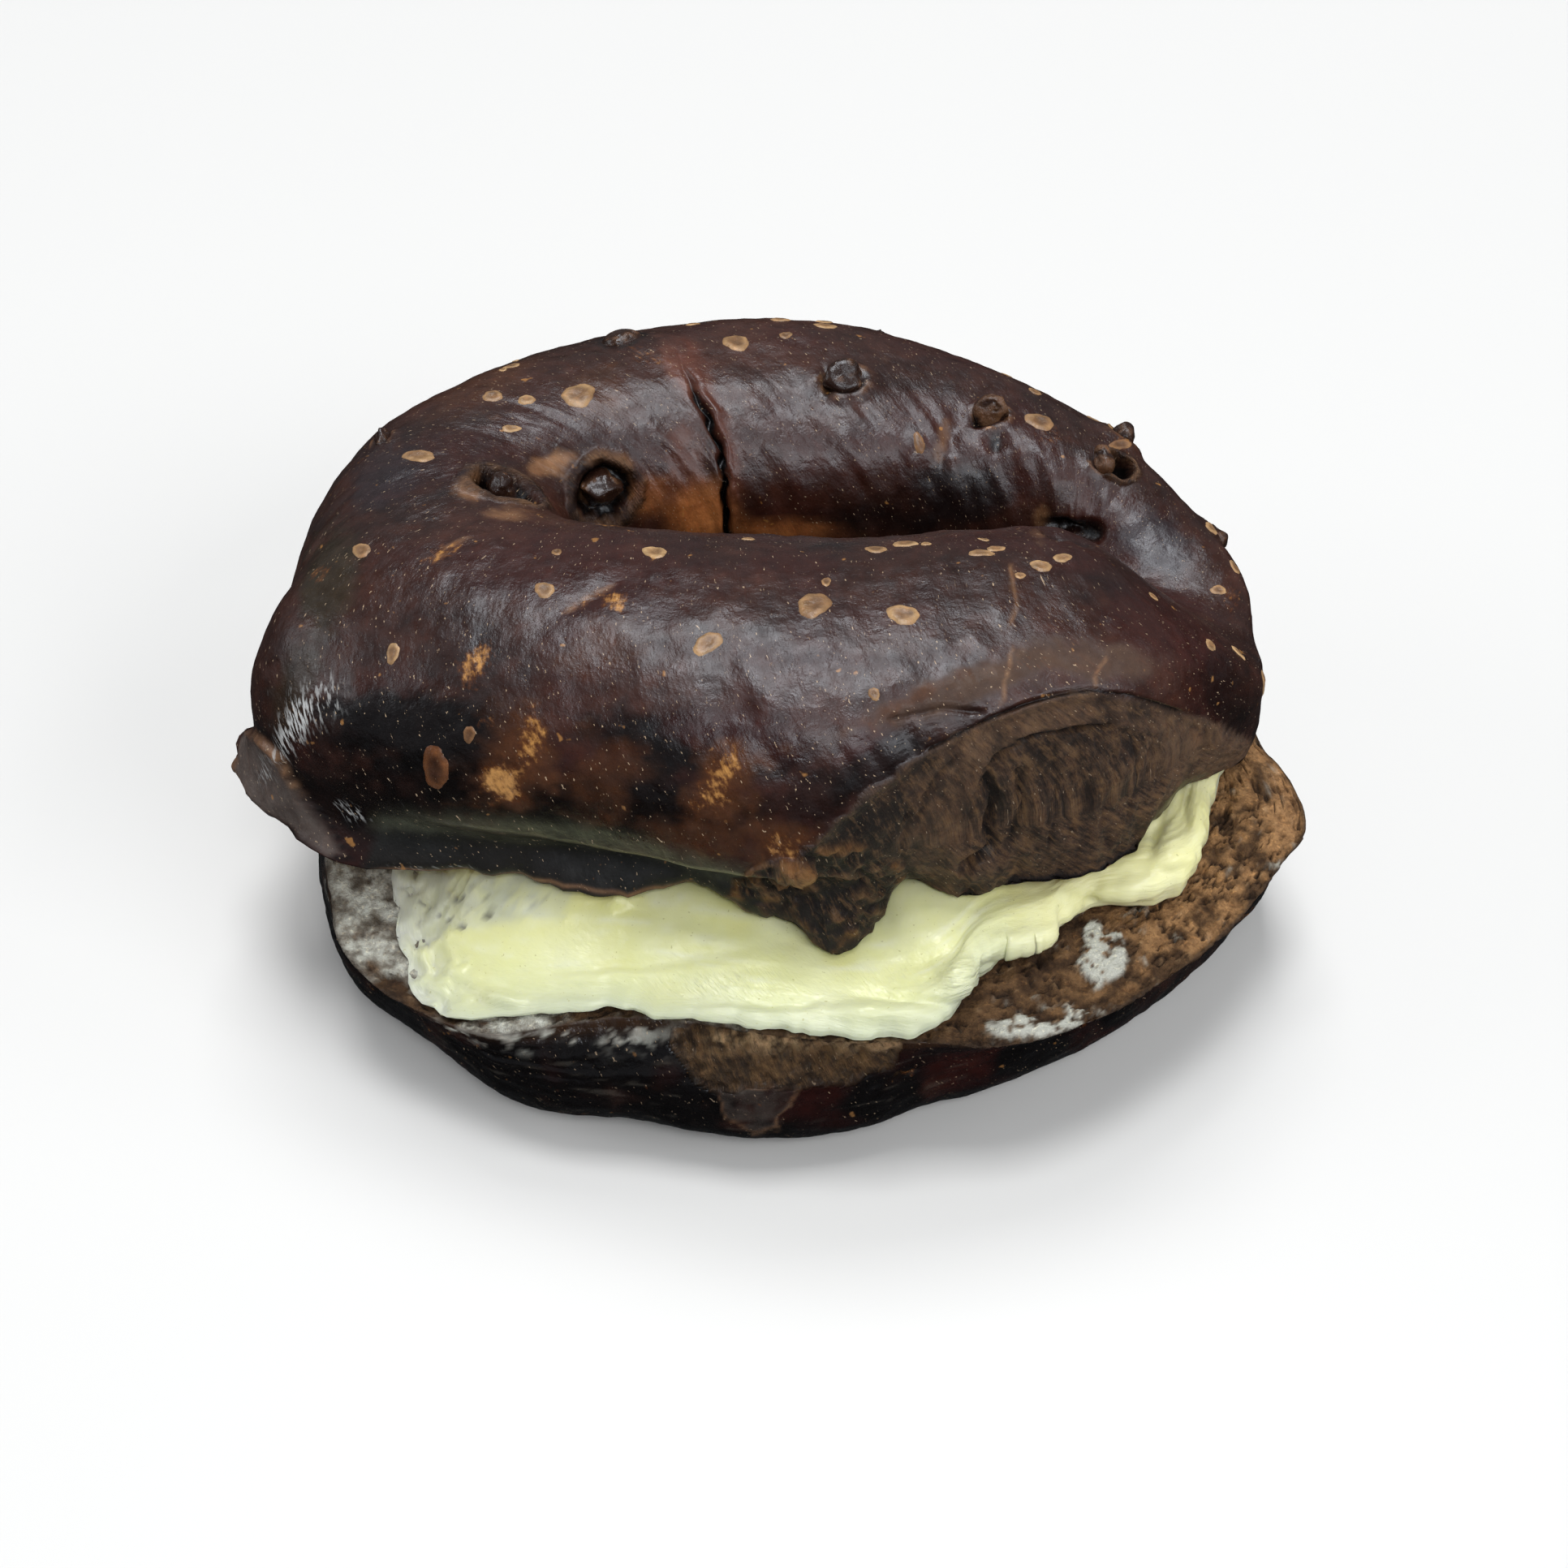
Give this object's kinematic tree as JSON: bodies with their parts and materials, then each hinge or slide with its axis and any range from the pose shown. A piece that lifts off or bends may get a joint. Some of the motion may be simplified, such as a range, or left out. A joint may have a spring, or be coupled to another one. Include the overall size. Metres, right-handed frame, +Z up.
{
  "type": "bagel",
  "caption": "Dark chocolate bagel of rolled dough, sliced level and closed off-centre over a thick pale spread, with blisters, chips and torn crust.",
  "frame": {"origin": "middle of the bounding box, on the table under the bagel", "axes": "+Z up, -Y towards the thick roll at the front where the spread shows, +X towards the end of the roll"},
  "size_m": [0.1071, 0.0928, 0.0464],
  "materials": {
    "crust": "glossy baked crust",
    "spread": "soft satin"
  },
  "bodies": {
    "root": {"top_half": "crust", "bottom_half": "crust", "spread": "spread"}
  },
  "joints": []
}
